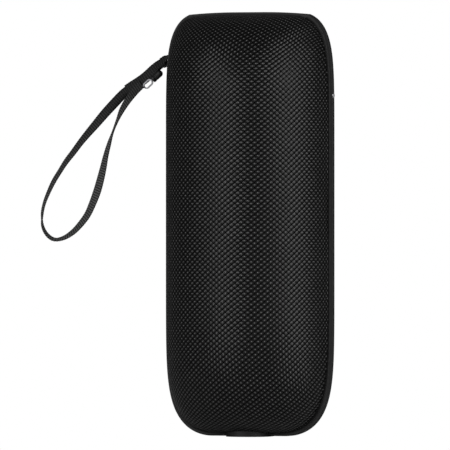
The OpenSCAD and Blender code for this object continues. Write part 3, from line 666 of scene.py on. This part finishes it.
def make_cover(name, side, node, holes=()):
    """One cover, with the knit as real relief and its edges tucked in beside the trim."""
    place, cloth = cover_columns(side)
    normal = grid_normals(place, side)
    u = SKIN_R * np.arcsin(place[:, :, 0] / SKIN_R) / KNIT_U
    v = cloth / KNIT_V
    lift = (knit_height(u, v) - 0.5) * KNIT_DEPTH
    to_edge = abs(place[:, :, 1]) - BAND_HALF
    tuck = 1 - smoothstep(to_edge / TUCK_WIDTH)
    lift = lift * (1 - 0.8 * tuck) - EDGE_TUCK * tuck
    place = place + normal * lift[:, :, None]
    rows, cols = cloth.shape
    verts = place.reshape(-1, 3)
    faces = grid_faces(rows, cols)
    if side > 0:
        faces = [f[::-1] for f in faces]
    if holes:
        kept = []
        for f in faces:
            c = verts[list(f)].mean(axis=0)
            if not any((lo < c).all() and (c < hi).all() for lo, hi in holes):
                kept.append(f)
        faces = kept
    obj = new_object(name, verts, faces, "knit_fabric")
    layer = obj.data.uv_layers.new(name="Weave")
    uv = np.stack([u.ravel(), v.ravel()], axis=1)
    index = np.zeros(len(obj.data.loops), int)
    obj.data.loops.foreach_get("vertex_index", index)
    layer.data.foreach_set("uv", uv[index].ravel())
    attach(obj, "housing")
    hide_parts(node)


def opening(node, shrink):
    """Box that cuts the cloth where a piece passes through it, smaller than the piece by shrink in
    mm on each side."""
    lo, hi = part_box(node)
    return np.array(lo) + np.array(shrink) * MM, np.array(hi) - np.array(shrink) * MM


make_cover("front_cover", -1, "front_fabric")
make_cover("rear_cover", 1, "rear_fabric",
           [opening("control_panel", (1, -4, 1)), opening("port_panel", (1, -4, 1)),
            opening("strap_lug", (-4, 0.6, 0.6))])

# ---- Trim rings ----


# points up each rounded end of the band, and across its flat top or bottom
BAND_SAMPLES, FLAT_SAMPLES = 70, 10


def band_path(lo, hi, w):
    """Closed outline in X and Z with its outward normals."""
    t = np.linspace(0, 1, BAND_SAMPLES) ** 2
    z = np.concatenate([lo + ROUND_W_BOTTOM * t, (hi - ROUND_W_TOP * t)[::-1]])
    x = half_w(z, lo, hi, w)
    right = np.stack([x, z], axis=1)
    left = right[::-1] * [-1, 1]
    flat = np.linspace(-1, 1, FLAT_SAMPLES + 2)[1:-1]
    bottom = np.stack([flat * x[0], np.full(FLAT_SAMPLES, lo)], axis=1)
    top = np.stack([-flat * x[-1], np.full(FLAT_SAMPLES, hi)], axis=1)
    path = np.concatenate([bottom, right, top, left])
    d = np.roll(path, -1, axis=0) - np.roll(path, 1, axis=0)
    d /= np.linalg.norm(d, axis=1)[:, None]
    return path, np.stack([d[:, 1], -d[:, 0]], axis=1)


def make_trim(name, node, y_near, y_far):
    """A ring with softly rounded shoulders, from the seam's edge to the cloth's edge."""
    path, out = band_path(BAND_LO, BAND_HI, BAND_R)
    r, depth, crown = 0.35 * MM, 2.6 * MM, 0.12 * MM
    sign = 1 if y_far > y_near else -1
    wide = abs(y_far - y_near)
    shoulder = np.radians(np.linspace(0, 90, 6))
    # distance across the ring from the seam, and height over the path
    section = [(0, -depth)]
    section += [(r - r * math.cos(a), -r + r * math.sin(a)) for a in shoulder]
    section += [(r + (wide - 2 * r) * t, crown * math.sin(math.pi * t)) for t in (0.2, 0.4, 0.6, 0.8)]
    section += [(wide - r + r * math.sin(a), -r + r * math.cos(a)) for a in shoulder]
    section += [(wide, -depth)]
    verts = [(p[0] + n[0] * s, y_near + sign * y, p[1] + n[1] * s)
             for p, n in zip(path, out) for y, s in section]
    faces = grid_faces(len(path), len(section), closed_rows=True, closed_cols=True)
    if sign < 0:
        faces = [f[::-1] for f in faces]
    obj = new_object(name, verts, faces, "trim_rubber")
    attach(obj, "housing")
    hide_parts(node)
    return obj


def bore(obj, centre, radius, length):
    """Cuts a round hole along X through an object's mesh."""
    n = ROUND_SIDES
    verts = [(centre.x + end * length / 2, centre.y + radius * math.cos(t),
              centre.z + radius * math.sin(t))
             for end in (-1, 1) for t in np.linspace(0, 2 * math.pi, n, endpoint=False)]
    faces = grid_faces(2, n, closed_cols=True)
    faces += [tuple(range(n - 1, -1, -1)), tuple(range(n, 2 * n))]
    mesh = bpy.data.meshes.new("drill")
    mesh.from_pydata(verts, [], faces)
    mesh.materials.append(obj.data.materials[0])
    drill = bpy.data.objects.new("drill", mesh)
    bpy.context.scene.collection.objects.link(drill)
    cut = obj.modifiers.new("bore", "BOOLEAN")
    cut.object, cut.operation, cut.solver = drill, "DIFFERENCE", "EXACT"
    done = bpy.data.meshes.new_from_object(obj.evaluated_get(bpy.context.evaluated_depsgraph_get()))
    obj.modifiers.remove(cut)
    bpy.data.objects.remove(drill)
    old, obj.data = obj.data, done
    bpy.data.meshes.remove(old)


make_trim("front_trim", "front_trim_ring", -SEAM_HALF, -BAND_HALF)
rear_trim = make_trim("rear_trim", "rear_trim_ring", SEAM_HALF, BAND_HALF)
# the power button comes out through the rear ring
stud_lo, stud_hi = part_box("power_button")
stud_centre = Vector((BAND_R, (stud_lo.y + stud_hi.y) / 2, (stud_lo.z + stud_hi.z) / 2))
bore(rear_trim, stud_centre, radius=(BUTTON_R + 0.15) * MM, length=12 * MM)

# ---- Softened edges on the CAD pieces that show ----


def soften(node, width):
    """A small rounding of a CAD piece's sharp edges."""
    obj = NODES[node]
    obj.data.polygons.foreach_set("use_smooth", [True] * len(obj.data.polygons))
    bevel = obj.modifiers.new("soft_edges", "BEVEL")
    bevel.width = width
    bevel.segments = 3
    bevel.limit_method = "ANGLE"
    bevel.angle_limit = math.radians(40)
    bevel.harden_normals = True


for shown, width in (("control_panel", 0.3), ("port_panel", 0.25), ("port_door", 0.25), ("foot", 0.4),
                     ("strap_lug", 0.35), ("strap_eyelet", 0.3)):
    soften(shown, width * MM)
for name in ("bluetooth", "volume_up", "play", "volume_down"):
    soften(name + "_button", 0.35 * MM)

# ---- Raised symbols on the keys ----


def arc(x, z, r, wide, start, end):
    """A bar bent round a centre, as a closed outline in X and Z."""
    a = np.radians(np.linspace(start, end, 20))
    outer = [(x + (r + wide / 2) * math.cos(t), z + (r + wide / 2) * math.sin(t)) for t in a]
    inner = [(x + (r - wide / 2) * math.cos(t), z + (r - wide / 2) * math.sin(t)) for t in a[::-1]]
    return outer + inner


def bar(x, z, w, h):
    """A rectangle round a centre."""
    return [(x + i * w / 2, z + j * h / 2) for i, j in ((-1, -1), (1, -1), (1, 1), (-1, 1))]


# how far a symbol stands over its key's face, and reaches into it, in mm
SYMBOL_HIGH, SYMBOL_DEEP = 0.16, 0.2


def raise_symbol(key, outlines):
    """Low relief on a key's face, made of outlines in mm round the key's centre."""
    lo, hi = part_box(key + "_button")
    centre = ((lo.x + hi.x) / 2, hi.y, (lo.z + hi.z) / 2)
    verts, faces = [], []
    for outline in outlines:
        n, k = len(outline), len(verts)
        for y in (SYMBOL_HIGH, -SYMBOL_DEEP):
            verts += [(centre[0] + x * MM, centre[1] + y * MM, centre[2] + z * MM) for x, z in outline]
        faces += [tuple(range(k + n - 1, k - 1, -1)), tuple(range(k + n, k + 2 * n))]
        faces += [(k + i, k + (i + 1) % n, k + n + (i + 1) % n, k + n + i) for i in range(n)]
    obj = new_object(key + "_symbol", verts, faces, "button_rubber", smooth=False)
    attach(obj, key + "_key")


# Two linked rings, a plus, play and pause, and a minus: seen from behind, +X is to the viewer's left
raise_symbol("bluetooth", [arc(0.9, 0, 1.15, 0.5, -125, 125), arc(-0.9, 0, 1.15, 0.5, 55, 305)])
raise_symbol("volume_up", [bar(0, 0, 3.6, 0.7), bar(0, 1.1, 0.7, 1.5), bar(0, -1.1, 0.7, 1.5)])
raise_symbol("play", [[(2.1, -1.3), (2.1, 1.3), (-0.1, 0)],
                      bar(-1.05, 0, 0.55, 2.6), bar(-2.15, 0, 0.55, 2.6)])
raise_symbol("volume_down", [bar(0, 0, 3.6, 0.7)])

# ---- Stage and light ----

# strength of the light from all round
AMBIENT = 0.06
FLOOR_COLOR = (0.75, 0.75, 0.75, 1)
# the floor's half size, and its height: a hair under the foot, so that the two don't coincide
FLOOR_HALF, FLOOR_Z = 8, -0.05 * MM


def make_stage():
    """A white floor that shows as plain white, and lights the speaker as a grey one."""
    n = Nodes("pale_floor")
    n.set(color=FLOOR_COLOR, rough=0.9)
    seen = n.add("ShaderNodeLightPath")
    white = n.add("ShaderNodeEmission")
    white.inputs["Strength"].default_value = 1.0
    mix = n.add("ShaderNodeMixShader")
    n.link(seen.outputs["Is Camera Ray"], mix.inputs[0])
    n.link(n.shader.outputs[0], mix.inputs[1])
    n.link(white.outputs[0], mix.inputs[2])
    n.link(mix.outputs[0], n.tree.nodes["Material Output"].inputs["Surface"])
    corners = [(x * FLOOR_HALF, y * FLOOR_HALF, FLOOR_Z) for x, y in ((-1, -1), (1, -1), (1, 1), (-1, 1))]
    floor = new_object("floor", corners, [(0, 1, 2, 3)], "trim_rubber", smooth=False)
    floor.data.materials[0] = n.material


def area_light(name, azimuth, elevation, distance, width, height, power):
    """A soft box that faces the object: azimuth is measured from the camera's side, to its right.
    In degrees, metres and watts."""
    light = bpy.data.lights.new(name, "AREA")
    light.shape = "RECTANGLE"
    light.size = width
    light.size_y = height
    light.energy = power
    obj = bpy.data.objects.new(name, light)
    bpy.context.scene.collection.objects.link(obj)
    a = CAMERA_AZIMUTH + math.radians(azimuth)
    e = math.radians(elevation)
    away = Vector((math.sin(a) * math.cos(e), -math.cos(a) * math.cos(e), math.sin(e)))
    centre = Vector((0, 0, HEIGHT / 2))
    obj.location = centre + away * distance
    obj.rotation_euler = (-away).to_track_quat("-Z", "Y").to_euler()


def make_light():
    """Two soft boxes, and a world that shows as plain white but lights only a little."""
    world = bpy.data.worlds.new("studio")
    world.use_nodes = True
    tree = world.node_tree
    dim = tree.nodes["Background"]
    dim.inputs["Strength"].default_value = AMBIENT
    white = tree.nodes.new("ShaderNodeBackground")
    white.inputs["Strength"].default_value = 1.0
    seen = tree.nodes.new("ShaderNodeLightPath")
    mix = tree.nodes.new("ShaderNodeMixShader")
    for background in (dim, white):
        background.inputs["Color"].default_value = (1, 1, 1, 1)
    tree.links.new(seen.outputs["Is Camera Ray"], mix.inputs[0])
    tree.links.new(dim.outputs[0], mix.inputs[1])
    tree.links.new(white.outputs[0], mix.inputs[2])
    tree.links.new(mix.outputs[0], tree.nodes["World Output"].inputs["Surface"])
    bpy.context.scene.world = world
    area_light("left_box", azimuth=-44.5, elevation=8, distance=1.4, width=0.84, height=1.8, power=10)
    area_light("right_box", azimuth=51.7, elevation=8, distance=1.4, width=1.05, height=1.8, power=13)
    bpy.context.scene.view_settings.view_transform = "Standard"


make_stage()
make_light()
